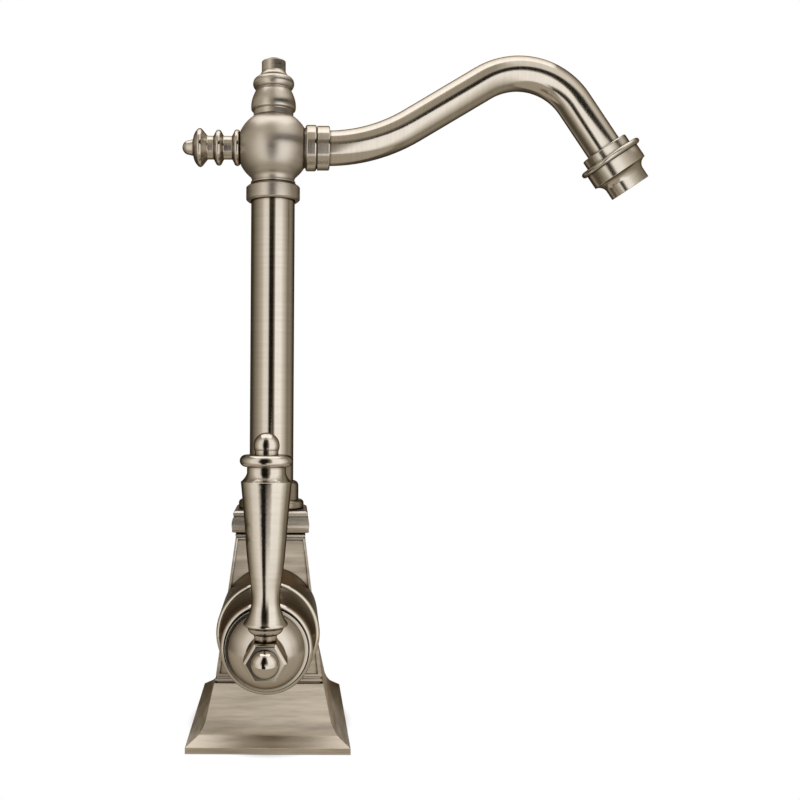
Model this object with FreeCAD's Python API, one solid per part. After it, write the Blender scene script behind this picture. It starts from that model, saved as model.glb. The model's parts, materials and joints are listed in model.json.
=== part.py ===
import FreeCAD, Part
import math
import os

# Instant hot water tap with a swan-neck spout and a side lever.
# Millimetres. Origin: middle of the foot's underside, on the column's axis.
# +Z is up, the spout reaches along +X and the lever valve faces -Y.
# A turned piece is drawn as (radius, height) and turned about its own axis.

# Clearances
RUNNING_GAP = 0.05      # radial, where one piece turns inside another
SEAT_GAP = 0.05         # radial, where a piece is screwed or pressed into its seat
TURNING_FACE_GAP = 0.3  # axial, between a turning piece and a fixed one
DISC_GAP = 0.1          # axial, between the two ceramic discs

# Foot: a plate with a bevelled edge, then a short flare and a battered apron up to the pedestal
FOOT_WIDTH = 62.0
FOOT_DEPTH = 87.0
FOOT_EDGE = 2.4
FOOT_BEVEL_RUN = 4.4
FOOT_BEVEL_RISE = 3.0
FOOT_FLARE_RUN = 2.9
FOOT_FLARE_RISE = 5.5
FOOT_FLARE_SAG = 0.42
FOOT_BATTER_RUN = 2.8
FOOT_BATTER_RISE = 12.9
FOOT_WALL = 3.2
FOOT_ROOF = 4.0
GASKET_WIDTH = 2.0
GASKET_THICKNESS = 1.6
GASKET_MARGIN = 1.4
BUSH_THREAD_BORE = 20.4
BUSH_WALL = 2.0
BUSH_LENGTH = 14.0
BUSH_SEAT_WALL = 2.0
HOSE_BORE = 18.0

# Pedestal: a four-sided casting, square at the top, with a sunk panel on each side
PEDESTAL_HEIGHT = 53.3
PEDESTAL_TOP_WIDTH = 28.1
PEDESTAL_INSET = 0.2
PEDESTAL_WALL = 4.0
PANEL_SINK = 0.9
PANEL_BORDER_LOW = 1.4
PANEL_BORDER_HIGH = 0.7
PANEL_LEDGE = 3.3
PANEL_HEAD = 0.6
REBATE_HEIGHT = 0.8
REBATE_SINK = 0.9
GROOVE_LIFT = 1.6
GROOVE_HEIGHT = 0.9
GROOVE_SINK = 0.5

# Capital: a square moulded block, its mouldings listed from the bottom up
CAPITAL_NECK_WIDTH = 27.2
CAPITAL_NECK_HEIGHT = 0.5
ASTRAGAL_WIDTH = 28.2
ASTRAGAL_HEIGHT = 0.8
COVE_HEIGHT = 0.9
COVE_SAG = 0.25
CAPITAL_WIDTH = 31.0
CAPITAL_LIP = 0.7
OVOLO_LOW_WIDTH = 30.5
OVOLO_HEIGHT = 5.5
OVOLO_TOP_WIDTH = 29.9
OVOLO_SAG = 0.5
QUIRK_WIDTH = 29.0
QUIRK_HEIGHT = 0.6
FILLET_WIDTH = 30.1
FILLET_HEIGHT = 1.0
SHOULDER_WIDTH = 26.8
SHOULDER_HEIGHT = 0.9
SHOULDER_SAG = 0.22

# Column and the socket that it stands in
RING_RADIUS = 13.5
RING_HEIGHT = 3.5
RING_ROUND = 1.4
RING_EASE = 0.4
SOCKET_RADIUS = 11.3
SOCKET_HEIGHT = 7.9
SOCKET_ROUND = 2.0
SOCKET_FLOOR = 1.5
COLUMN_RADIUS = 9.1
COLUMN_WALL = 1.2
COLUMN_SHOWN = 116.0
RISER_RADIUS = 2.9
RISER_WALL = 0.6
RISER_SEAT = 4.0
RISER_OVERLAP = 7.0

# Swivel joint on top of the column
COLLAR_RADIUS = 11.2
COLLAR_HEIGHT = 7.1
COLLAR_TOP_RADIUS = 9.5
COLLAR_TOP_CHAMFER = 1.3
COLLAR_LOW_CHAMFER = 0.8
COLLAR_SEAT = 3.0
SLEEVE_LENGTH = 10.0
SPIGOT_RADIUS = 6.0
SPIGOT_SCREWED = 6.0
SPIGOT_TAIL = 3.0
CLIP_RADIUS = 7.0
CLIP_THICKNESS = 1.2
CLIP_GROOVE_RADIUS = 5.2
O_RING_THICKNESS = 1.8
O_RING_PITCH = 6.0
O_RING_DROP = 4.5
O_RING_GROOVE_SLACK = 0.2

# Ball tee that carries the finials and the spout
BALL_RADIUS = 15.3
BALL_FOOT_RADIUS = 9.3
BALL_FOOT_EDGE = 0.7
BALL_NECK_RADIUS = 8.8
BALL_NECK_LENGTH = 0.2584
BALL_FILLET_RADIUS = 9.9
BALL_WATERWAY = 4.0
STUD_RADIUS = 2.5
STUD_LENGTH = 5.0
STUD_HOLE_SLACK = 0.5

# Top finial, as radii and heights above its seat: base, bell, bead and stub
TOP_BASE_RADIUS = 8.3
TOP_BASE_HEIGHT = 2.2
BELL_EDGE_RADIUS = 9.2
BELL_EDGE_RISE = 2.8
BELL_RIM_RADIUS = 9.35
BELL_RIM_RISE = 4.4
BELL_BULGE_RADIUS = 8.67
BELL_BULGE_RISE = 8.05
TOP_NECK_RADIUS = 7.2
TOP_NECK_RISE = 11.3
TOP_BEAD_RADIUS = 8.6
TOP_BEAD_RISE = 13.9
TOP_BEAD_END_RADIUS = 7.0
TOP_BEAD_END_RISE = 16.3
TOP_FLARE_SAG = 0.35
TOP_STUB_RADIUS = 5.0
TOP_STUB_LOW = 19.0
TOP_STUB_HIGH = 23.0
TOP_END_RADIUS = 2.7
TOP_END_RISE = 24.1

# Side finial: three discs with round rims and sloping flanks, straight necks between them, a domed tip
SIDE_SEAT_RADIUS = 7.2
SIDE_FOOT_RADIUS = 6.5
SIDE_DISC_RADII = (7.4, 7.3, 7.9)
SIDE_DISC_PLACES = (1.5, 9.2, 17.0)
SIDE_FLANKS = (2.1, 2.1, 3.2)
SIDE_RIM_ROUND = 0.6
SIDE_RIM_HALF = 1.1
SIDE_NECK_RADIUS = 4.8
SIDE_TIP_NECK_RADIUS = 3.4
SIDE_TIP_NECK_RISE = 19.8
SIDE_SHOULDER_SAG = 0.4
SIDE_TIP_RADIUS = 2.8
SIDE_TIP_RISE = 22.4
SIDE_END_RISE = 24.4

# Spout root: a flange on the ball and the nut that holds the tube
FLANGE_SEAT_RADIUS = 8.2
FLANGE_NECK = 0.5
FLANGE_RADIUS = 9.4
FLANGE_LENGTH = 4.6
FLANGE_ROUND = 0.9
FLANGE_STUB_RADIUS = 5.5
FLANGE_STUB_LENGTH = 4.0
SEAL_THICKNESS = 1.2
SPOUT_GROOVE = 0.3
NUT_RADIUS = 9.05
NUT_LENGTH = 5.1
NUT_ROUND = 0.6

# Spout tube: straight runs joined by arcs, all in the XZ plane
SPOUT_RADIUS = 7.2
SPOUT_WALL = 1.0
SPOUT_LEAD = 3.4
RISE_BEND_RADIUS = 68.0
RISE_ANGLE = 31.0
RISE_LENGTH = 34.6
CREST_RADIUS = 28.3
FALL_ANGLE = 56.0
FALL_LENGTH = 25.2

# Tip fitting and aerator, measured along the spout's last run
TIP_COLLAR_RADIUS = 9.8
TIP_COLLAR_LENGTH = 3.8
TIP_COLLAR_ROUND = 0.6
TIP_BEAD_RADIUS = 13.2
TIP_BEAD_LENGTH = 2.4
TIP_OVERLAP = 3.0
TIP_THREAD_RADIUS = 8.4
TIP_THREAD_LENGTH = 4.0
AERATOR_RADIUS = 11.5
AERATOR_BODY = 6.0
AERATOR_STEP = 3.4
AERATOR_STEP_SAG = 0.8
OUTLET_RADIUS = 8.4
OUTLET_LENGTH = 4.4
OUTLET_WALL = 1.2
OUTLET_RECESS = 0.8
WASHER_THICKNESS = 1.5
INSERT_LENGTH = 4.0
INSERT_JET_RADIUS = 0.55
INSERT_JET_REACHES = (0.0, 2.6, 5.0)
INSERT_JET_COUNTS = (1, 6, 12)

# Side valve. Distances are measured from the column's axis towards the front.
DRUM_LIFT = 4.1
DRUM_SEAT = 16.5
DRUM_RADIUS = 19.0
DRUM_LENGTH = 34.7
DRUM_EDGE = 1.1
DRUM_WALL = 2.0
DRUM_FRONT_WALL = 2.4
BONNET_BACK_RADIUS = 17.7
BONNET_FRONT_RADIUS = 15.4
BONNET_LENGTH = 19.4
BONNET_SAG = 0.9
BONNET_GROOVE_DEPTH = 0.7
BONNET_GROOVE_LENGTH = 0.5
BEAD_RADIUS = 16.1
BEAD_LENGTH = 3.4
BEAD_ROUND = 1.1
BEAD_GROOVE_RADIUS = 14.7
BEAD_GROOVE_LENGTH = 0.8
INNER_RING_RADIUS = 14.3
INNER_RING_LENGTH = 1.5
BONNET_STEM_SLACK = 1.0
VALVE_BODY_RADIUS = 10.5
VALVE_BODY_BACK = 12.0
VALVE_BODY_FRONT = 46.0
RISER_PORT_RADIUS = 1.5
INLET_PORT_RADIUS = 4.45
DISC_RADIUS = 8.0
DISC_THICKNESS = 3.0
DISC_PORT_RADIUS = 1.6
DISC_PORT_OFFSET = 3.8
CARTRIDGE_RADIUS = 11.5
CARTRIDGE_LENGTH = 20.0
STEM_FLANGE_LENGTH = 2.8
STEM_RADIUS = 4.0
STEM_TAIL = 5.0
STEM_TAIL_RADIUS = 3.0
STEM_SEAL_THICKNESS = 1.4
STEM_SEAL_PLACE = 6.0

# Handle on the valve stem: bell skirt, hexagonal hub, button and lever
SKIRT_RADIUS = 13.1
SKIRT_EDGE = 0.8
SKIRT_TOP_RADIUS = 6.9
SKIRT_LENGTH = 8.2
HUB_SIDES = 6
HUB_ACROSS_FLATS = 12.7
HUB_LENGTH = 10.7
HUB_CHAMFER = 0.8
HUB_SCREW_RADIUS = 1.5
HUB_SCREW_LENGTH = 9.0
HUB_SCREW_HEAD_RADIUS = 2.6
HUB_SCREW_WEB = 1.2
HUB_SCREW_HEAD = 2.0
BUTTON_NECK_RADIUS = 4.1
BUTTON_NECK = 0.4
BUTTON_DOME_RADIUS = 4.7
BUTTON_DOME = 3.9
BUTTON_STEM_RADIUS = 3.6
BUTTON_STEM = 1.8
LEVER_SETBACK = 5.8
LEVER_STUD_RADIUS = 2.0
LEVER_STUD_LENGTH = 7.0
LEVER_STUD_IN_HUB = 2.8

# Lever outline, as radii and heights above the hub's top flat
LEVER_FOOT_RADIUS = 3.4
LEVER_NECK_RADIUS = 4.0
LEVER_NECK = 2.2
LEVER_BOWL_RADIUS = 5.9
LEVER_BOWL = 4.3
LEVER_BOWL_SAG = 0.45
LEVER_RIM_RADIUS = 7.3
LEVER_RIM = 5.3
LEVER_RIM_EDGE = 0.6
LEVER_FLARE_RADIUS = 5.4
LEVER_FLARE = 9.2
LEVER_WAIST_RADIUS = 4.7
LEVER_WAIST = 12.6
LEVER_GRIP_LOW_RADIUS = 5.5
LEVER_GRIP_LOW = 21.5
LEVER_GRIP_RADIUS = 7.2
LEVER_GRIP = 39.5
LEVER_SHOULDER_RADIUS = 8.4
LEVER_SHOULDER = 52.2
LEVER_THROAT_RADIUS = 6.4
LEVER_THROAT = 55.0
LEVER_THROAT_SAG = 0.3
LEVER_RING_RADIUS = 8.8
LEVER_RING = 57.1
LEVER_RING_HEIGHT = 3.9
LEVER_RING_ROUND = 1.7
LEVER_BALL_NECK_RADIUS = 3.9
LEVER_BALL_RADIUS = 4.3
LEVER_BALL = 64.0

# Heights that follow from the stack
HALF_EXTRA_DEPTH = (FOOT_DEPTH - FOOT_WIDTH) / 2
FOOT_TOP = FOOT_EDGE + FOOT_BEVEL_RISE + FOOT_FLARE_RISE + FOOT_BATTER_RISE
FOOT_TOP_HALF = FOOT_WIDTH / 2 - FOOT_BEVEL_RUN - FOOT_FLARE_RUN - FOOT_BATTER_RUN
VALVE_HEIGHT = FOOT_TOP + DRUM_LIFT + DRUM_RADIUS
PEDESTAL_TOP = FOOT_TOP + PEDESTAL_HEIGHT
CAPITAL_HEIGHT = (CAPITAL_NECK_HEIGHT + ASTRAGAL_HEIGHT + COVE_HEIGHT + CAPITAL_LIP + OVOLO_HEIGHT
                  + QUIRK_HEIGHT + FILLET_HEIGHT + SHOULDER_HEIGHT)
CAPITAL_TOP = PEDESTAL_TOP + CAPITAL_HEIGHT
SOCKET_TOP = CAPITAL_TOP + RING_HEIGHT + SOCKET_HEIGHT
COLLAR_BOTTOM = SOCKET_TOP + COLUMN_SHOWN
COLLAR_TOP = COLLAR_BOTTOM + COLLAR_HEIGHT
BALL_FOOT = COLLAR_TOP + TURNING_FACE_GAP
BALL_JOIN_DROP = math.sqrt(BALL_RADIUS ** 2 - BALL_FILLET_RADIUS ** 2)
BALL_FILLET_TURN = math.atan2(BALL_JOIN_DROP, BALL_FILLET_RADIUS)
BALL_FILLET_REACH = (BALL_FILLET_RADIUS - BALL_NECK_RADIUS) / (1 - math.cos(BALL_FILLET_TURN))
BALL_FILLET_DROP = BALL_JOIN_DROP + BALL_FILLET_REACH * math.sin(BALL_FILLET_TURN)
BALL_AXIS_RISE = BALL_FILLET_DROP + BALL_NECK_LENGTH + BALL_FOOT_EDGE
HEAD_AXIS = BALL_FOOT + BALL_AXIS_RISE
SLEEVE_BOTTOM = COLLAR_BOTTOM - SLEEVE_LENGTH
CLIP_TOP = SLEEVE_BOTTOM - TURNING_FACE_GAP
SPIGOT_BOTTOM = CLIP_TOP - CLIP_THICKNESS - SPIGOT_TAIL

# Valve stations that follow from the stack, as distances from the column's axis
DRUM_FRONT = DRUM_SEAT + DRUM_LENGTH
BONNET_FRONT = DRUM_FRONT + BONNET_LENGTH
INNER_RING_FRONT = BONNET_FRONT + BEAD_LENGTH + INNER_RING_LENGTH
SKIRT_BACK = INNER_RING_FRONT + TURNING_FACE_GAP
HUB_BACK = SKIRT_BACK + SKIRT_LENGTH
HUB_FRONT = HUB_BACK + HUB_LENGTH
LEVER_PLACE = HUB_FRONT - LEVER_SETBACK
MOVING_DISC_BACK = VALVE_BODY_FRONT + DISC_THICKNESS + DISC_GAP
STEM_BACK = MOVING_DISC_BACK + DISC_THICKNESS
STEM_SHAFT_BACK = STEM_BACK + STEM_FLANGE_LENGTH
CARTRIDGE_FRONT = VALVE_BODY_FRONT + CARTRIDGE_LENGTH
STEM_FRONT = HUB_BACK + STEM_TAIL

ORIGIN = FreeCAD.Vector(0, 0, 0)
X_AXIS = FreeCAD.Vector(1, 0, 0)
Y_AXIS = FreeCAD.Vector(0, 1, 0)
Z_AXIS = FreeCAD.Vector(0, 0, 1)
FULL_TURN = 360.0
QUARTER_TURN = 90.0
QUARTER_ROUND_SAG = 1 - math.sqrt(0.5)


def place(across, up):
    return FreeCAD.Vector(across, 0, up)


def bowed(start, end, sag):
    """Arc step from start to end whose middle lies sag to the left of the chord."""
    run, rise = end[0] - start[0], end[1] - start[1]
    chord = math.hypot(run, rise)
    middle = ((start[0] + end[0]) / 2 - sag * rise / chord, (start[1] + end[1]) / 2 + sag * run / chord)
    return (*middle, *end)


def eased(start, end):
    """Arc step that rounds an outer corner off from start to end."""
    size = min(abs(end[0] - start[0]), abs(end[1] - start[1]))
    return bowed(start, end, -size * QUARTER_ROUND_SAG)


def domed(start, end):
    """Arc step from start to end about a centre on the axis."""
    centre = (end[0] ** 2 + end[1] ** 2 - start[0] ** 2 - start[1] ** 2) / (2 * (end[1] - start[1]))
    low, high = (math.atan2(height - centre, radius) for radius, height in (start, end))
    sphere = math.hypot(end[0], end[1] - centre)
    middle = (low + high) / 2
    return (sphere * math.cos(middle), centre + sphere * math.sin(middle), *end)


def outline(start, *steps):
    """Closed face in the XZ plane: a pair is a straight side, four numbers an arc, a list a curve."""
    here = place(*start)
    edges = []
    for step in steps:
        if isinstance(step, list):
            curve = Part.BSplineCurve()
            curve.interpolate([here] + [place(*point) for point in step])
            edges.append(curve.toShape())
            here = place(*step[-1])
        elif len(step) == 4:
            end = place(*step[2:])
            edges.append(Part.Arc(here, place(*step[:2]), end).toShape())
            here = end
        else:
            end = place(*step)
            edges.append(Part.LineSegment(here, end).toShape())
            here = end
    edges.append(Part.LineSegment(here, place(*start)).toShape())
    return Part.Face(Part.Wire(edges))


def turned(start, *steps):
    """Solid turned about Z from an outline in radius and height."""
    return outline(start, *steps).revolve(ORIGIN, Z_AXIS, FULL_TURN)


def rod(radius, low, high):
    return Part.makeCylinder(radius, high - low, place(0, low), Z_AXIS)


def tube(outer, inner, low, high):
    return rod(outer, low, high).cut(rod(inner, low, high))


def o_ring(outer, thickness, middle):
    return Part.makeTorus(outer - thickness / 2, thickness / 2, place(0, middle), Z_AXIS)


def block(half_width, half_depth, low, high):
    corner = FreeCAD.Vector(-half_width, -half_depth, low)
    return Part.makeBox(2 * half_width, 2 * half_depth, high - low, corner)


def to_valve(shape):
    """Lay a turned piece on the valve's axis, its height becoming distance to the front."""
    shape.rotate(ORIGIN, X_AXIS, QUARTER_TURN)
    shape.translate(place(0, VALVE_HEIGHT))
    return shape


def to_head(shape, turn):
    """Lean a turned piece over by turn degrees towards +X, on the head's axis."""
    shape.rotate(ORIGIN, Y_AXIS, turn)
    shape.translate(place(0, HEAD_AXIS))
    return shape


def moulded_block(steps, low, high, extra_half_depth=0.0):
    """Four-sided block whose sides all have the moulding drawn in steps, mitred at the corners."""
    length = 2 * (FOOT_WIDTH + extra_half_depth)
    ways = []
    for extra in (0.0, extra_half_depth):
        side = outline((-extra, low), *steps, (-extra, high)).extrude(Y_AXIS * length)
        side.translate(FreeCAD.Vector(extra, -length / 2, 0))
        ways.append(side.fuse(side.mirror(ORIGIN, X_AXIS)).removeSplitter())
    ways[1].rotate(ORIGIN, Z_AXIS, QUARTER_TURN)
    return ways[0].common(ways[1])


def seat_height(radius):
    """Distance from the ball's centre to a flat of the given radius cut on it."""
    return math.sqrt(BALL_RADIUS ** 2 - radius ** 2)


def foot_bush_radius():
    return BUSH_THREAD_BORE / 2 + BUSH_WALL


def foot():
    bevel = (FOOT_WIDTH / 2 - FOOT_BEVEL_RUN, FOOT_EDGE + FOOT_BEVEL_RISE)
    flare = (bevel[0] - FOOT_FLARE_RUN, bevel[1] + FOOT_FLARE_RISE)
    body = moulded_block([(FOOT_WIDTH / 2, 0), (FOOT_WIDTH / 2, FOOT_EDGE), bevel,
                          bowed(bevel, flare, FOOT_FLARE_SAG), (FOOT_TOP_HALF, FOOT_TOP)],
                         0, FOOT_TOP, HALF_EXTRA_DEPTH)
    hollow_half = FOOT_TOP_HALF - FOOT_WALL
    hollow = block(hollow_half, hollow_half + HALF_EXTRA_DEPTH, 0, FOOT_TOP - FOOT_ROOF)
    boss = rod(foot_bush_radius() + BUSH_SEAT_WALL, 0, FOOT_TOP - FOOT_ROOF)
    body = body.cut(hollow.cut(boss))
    body = body.cut(rod(foot_bush_radius() + SEAT_GAP, 0, BUSH_LENGTH))
    body = body.cut(rod(HOSE_BORE / 2, BUSH_LENGTH, FOOT_TOP))
    return body.cut(foot_gasket())


def foot_gasket():
    outer = FOOT_WIDTH / 2 - GASKET_MARGIN
    inner = outer - GASKET_WIDTH
    ring = block(outer, outer + HALF_EXTRA_DEPTH, 0, GASKET_THICKNESS)
    return ring.cut(block(inner, inner + HALF_EXTRA_DEPTH, 0, GASKET_THICKNESS))


def threaded_bush():
    return tube(foot_bush_radius(), BUSH_THREAD_BORE / 2, 0, BUSH_LENGTH)


def pedestal_halves(height):
    """Half the pedestal's width and depth at a height; both widen downwards in a straight line."""
    low_half = FOOT_TOP_HALF - PEDESTAL_INSET
    share = (height - FOOT_TOP) / PEDESTAL_HEIGHT
    return [low + (PEDESTAL_TOP_WIDTH / 2 - low) * share for low in (low_half, low_half + HALF_EXTRA_DEPTH)]


def tapered(low, high, widen_low, widen_high, deepen_low, deepen_high):
    """Tapered block that follows the pedestal's sides, let out by the given amounts."""
    wires = []
    for height, widen, deepen in ((low, widen_low, deepen_low), (high, widen_high, deepen_high)):
        half_width, half_depth = pedestal_halves(height)
        flat = Part.makePlane(2 * (half_width + widen), 2 * (half_depth + deepen),
                              FreeCAD.Vector(-half_width - widen, -half_depth - deepen, height))
        wires.append(flat.OuterWire)
    return Part.makeLoft(wires, True, True)


def sunk_panels(low, high):
    """Shallow recesses on all four sides, inside a border that narrows upwards."""
    proud = PEDESTAL_WALL
    core = tapered(low, high, *([-PANEL_SINK] * 4))
    front_and_back = tapered(low, high, -PANEL_BORDER_LOW, -PANEL_BORDER_HIGH, proud, proud)
    both_sides = tapered(low, high, proud, proud, -PANEL_BORDER_LOW, -PANEL_BORDER_HIGH)
    return front_and_back.fuse(both_sides).cut(core)


def sunk_band(low, high, sink):
    """Groove of the given depth right round the pedestal."""
    return tapered(low, high, *([PEDESTAL_WALL] * 4)).cut(tapered(low, high, *([-sink] * 4)))


def pedestal():
    body = tapered(FOOT_TOP, PEDESTAL_TOP, 0, 0, 0, 0)
    hollow_top = PEDESTAL_TOP - PEDESTAL_WALL
    hollow = tapered(FOOT_TOP, hollow_top, *([-PEDESTAL_WALL] * 4))
    bearer_half = VALVE_BODY_RADIUS + PEDESTAL_WALL
    body = body.cut(hollow.cut(block(bearer_half, bearer_half, FOOT_TOP, hollow_top)))
    body = body.cut(sunk_panels(FOOT_TOP + PANEL_LEDGE, PEDESTAL_TOP - PANEL_HEAD))
    body = body.cut(sunk_band(FOOT_TOP, FOOT_TOP + REBATE_HEIGHT, REBATE_SINK))
    groove_low = FOOT_TOP + GROOVE_LIFT
    body = body.cut(sunk_band(groove_low, groove_low + GROOVE_HEIGHT, GROOVE_SINK))
    body = body.cut(to_valve(rod(DRUM_RADIUS + SEAT_GAP, DRUM_SEAT, DRUM_FRONT)))
    body = body.cut(to_valve(rod(VALVE_BODY_RADIUS + SEAT_GAP, -VALVE_BODY_BACK, DRUM_FRONT)))
    body = body.cut(rod(HOSE_BORE / 2, FOOT_TOP, VALVE_HEIGHT))
    return body.cut(rod(RISER_RADIUS + SEAT_GAP, VALVE_HEIGHT, PEDESTAL_TOP))


def capital():
    heights = [PEDESTAL_TOP]
    for layer in (CAPITAL_NECK_HEIGHT, ASTRAGAL_HEIGHT, COVE_HEIGHT, CAPITAL_LIP, OVOLO_HEIGHT, QUIRK_HEIGHT,
                  FILLET_HEIGHT, SHOULDER_HEIGHT):
        heights.append(heights[-1] + layer)
    neck, astragal, cove, lip, ovolo, quirk, fillet, shoulder = heights[1:]
    neck_half, astragal_half, widest = CAPITAL_NECK_WIDTH / 2, ASTRAGAL_WIDTH / 2, CAPITAL_WIDTH / 2
    lip_foot = (widest - CAPITAL_LIP, cove)
    ovolo_low, ovolo_high = (OVOLO_LOW_WIDTH / 2, lip), (OVOLO_TOP_WIDTH / 2, ovolo)
    quirk_half, fillet_half = QUIRK_WIDTH / 2, FILLET_WIDTH / 2
    steps = [(neck_half, PEDESTAL_TOP), (neck_half, neck),
             (astragal_half, neck), (astragal_half, astragal), (neck_half, astragal),
             bowed((neck_half, astragal), lip_foot, COVE_SAG), eased(lip_foot, (widest, lip)), ovolo_low,
             bowed(ovolo_low, ovolo_high, -OVOLO_SAG), (quirk_half, ovolo), (quirk_half, quirk),
             (fillet_half, quirk), (fillet_half, fillet),
             bowed((fillet_half, fillet), (SHOULDER_WIDTH / 2, shoulder), -SHOULDER_SAG)]
    body = moulded_block(steps, PEDESTAL_TOP, CAPITAL_TOP)
    return body.cut(rod(RISER_RADIUS + SEAT_GAP, PEDESTAL_TOP, CAPITAL_TOP))


def column_socket():
    ring_low, ring_high = CAPITAL_TOP, CAPITAL_TOP + RING_HEIGHT
    ring_round, ring_top = (RING_RADIUS, ring_high - RING_ROUND), (RING_RADIUS - RING_ROUND, ring_high)
    mouth_round, mouth = (SOCKET_RADIUS, SOCKET_TOP - SOCKET_ROUND), (COLUMN_RADIUS + SEAT_GAP, SOCKET_TOP)
    body = turned((RISER_RADIUS + SEAT_GAP, ring_low), (RING_RADIUS - RING_EASE, ring_low),
                  (RING_RADIUS, ring_low + RING_EASE), ring_round, eased(ring_round, ring_top),
                  (SOCKET_RADIUS, ring_high), mouth_round, eased(mouth_round, mouth),
                  (RISER_RADIUS + SEAT_GAP, SOCKET_TOP))
    return body.cut(rod(COLUMN_RADIUS + SEAT_GAP, CAPITAL_TOP + SOCKET_FLOOR, SOCKET_TOP))


def column_tube():
    low, high = CAPITAL_TOP + SOCKET_FLOOR, COLLAR_BOTTOM + COLLAR_SEAT
    return tube(COLUMN_RADIUS, COLUMN_RADIUS - COLUMN_WALL, low, high)


def riser_tube():
    low = VALVE_HEIGHT + VALVE_BODY_RADIUS - RISER_SEAT
    return tube(RISER_RADIUS, RISER_RADIUS - RISER_WALL, low, SPIGOT_BOTTOM + RISER_OVERLAP)


def swivel_collar():
    bore = SPIGOT_RADIUS + RUNNING_GAP
    sleeve_radius = COLUMN_RADIUS - COLUMN_WALL - SEAT_GAP
    seat_top = COLLAR_BOTTOM + COLLAR_SEAT
    return turned((bore, SLEEVE_BOTTOM), (sleeve_radius, SLEEVE_BOTTOM), (sleeve_radius, seat_top),
                  (COLUMN_RADIUS + SEAT_GAP, seat_top), (COLUMN_RADIUS + SEAT_GAP, COLLAR_BOTTOM),
                  (COLLAR_RADIUS - COLLAR_LOW_CHAMFER, COLLAR_BOTTOM),
                  (COLLAR_RADIUS, COLLAR_BOTTOM + COLLAR_LOW_CHAMFER),
                  (COLLAR_RADIUS, COLLAR_TOP - COLLAR_TOP_CHAMFER), (COLLAR_TOP_RADIUS, COLLAR_TOP),
                  (bore, COLLAR_TOP))


def o_ring_heights():
    first = COLLAR_TOP - O_RING_DROP
    return [first, first - O_RING_PITCH]


def swivel_spigot():
    body = tube(SPIGOT_RADIUS, RISER_RADIUS + TURNING_FACE_GAP, SPIGOT_BOTTOM, BALL_FOOT + SPIGOT_SCREWED)
    for middle in o_ring_heights():
        half = O_RING_THICKNESS / 2 + O_RING_GROOVE_SLACK
        groove_radius = SPIGOT_RADIUS - O_RING_THICKNESS - SEAT_GAP
        body = body.cut(tube(SPIGOT_RADIUS + RUNNING_GAP, groove_radius, middle - half, middle + half))
    return body.cut(tube(CLIP_RADIUS, CLIP_GROOVE_RADIUS, CLIP_TOP - CLIP_THICKNESS, CLIP_TOP))


def spigot_o_rings():
    return Part.makeCompound([o_ring(SPIGOT_RADIUS, O_RING_THICKNESS, middle) for middle in o_ring_heights()])


def retaining_clip():
    ring = tube(CLIP_RADIUS, CLIP_GROOVE_RADIUS, CLIP_TOP - CLIP_THICKNESS, CLIP_TOP)
    mouth = block(CLIP_GROOVE_RADIUS / 2, CLIP_RADIUS, CLIP_TOP - CLIP_THICKNESS, CLIP_TOP)
    mouth.translate(Y_AXIS * CLIP_RADIUS)
    return ring.cut(mouth)


def ball_fillet():
    """Hollow fillet up from the neck, tangent to it and to the ball, as an arc step."""
    half_turn = BALL_FILLET_TURN / 2
    middle = (BALL_NECK_RADIUS + BALL_FILLET_REACH * (1 - math.cos(half_turn)),
              -BALL_FILLET_DROP + BALL_FILLET_REACH * math.sin(half_turn))
    return (*middle, BALL_FILLET_RADIUS, -BALL_JOIN_DROP)


def head_ball():
    foot_low = -BALL_AXIS_RISE
    neck_low = foot_low + BALL_FOOT_EDGE
    top_seat = seat_height(TOP_BASE_RADIUS)
    body = Part.makeSphere(BALL_RADIUS, ORIGIN, Y_AXIS)
    neck_high = (BALL_NECK_RADIUS, -BALL_FILLET_DROP)
    body = body.fuse(turned((0, foot_low), (BALL_FOOT_RADIUS, foot_low), (BALL_FOOT_RADIUS, neck_low),
                            (BALL_NECK_RADIUS, neck_low), neck_high, ball_fillet(), (0, -BALL_JOIN_DROP)))
    reach = 2 * BALL_RADIUS
    for low, high in ((top_seat, reach), (-reach, foot_low)):
        body = body.cut(block(reach, reach, low, high))
    stud_hole = STUD_LENGTH + STUD_HOLE_SLACK
    body = body.cut(rod(SPIGOT_RADIUS + SEAT_GAP, foot_low, foot_low + SPIGOT_SCREWED))
    body = body.cut(rod(BALL_WATERWAY, foot_low, 0))
    body = body.cut(rod(STUD_RADIUS + SEAT_GAP, top_seat - stud_hole, top_seat))
    body.translate(place(0, HEAD_AXIS))
    flange_seat, side_seat = seat_height(FLANGE_SEAT_RADIUS), seat_height(SIDE_SEAT_RADIUS)
    for tool in (block(reach, reach, flange_seat, reach),
                 rod(BALL_WATERWAY, 0, flange_seat),
                 rod(FLANGE_STUB_RADIUS + SEAT_GAP, flange_seat - FLANGE_STUB_LENGTH, flange_seat)):
        body = body.cut(to_head(tool, QUARTER_TURN))
    for tool in (block(reach, reach, side_seat, reach),
                 rod(STUD_RADIUS + SEAT_GAP, side_seat - stud_hole, side_seat)):
        body = body.cut(to_head(tool, -QUARTER_TURN))
    return body


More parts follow.
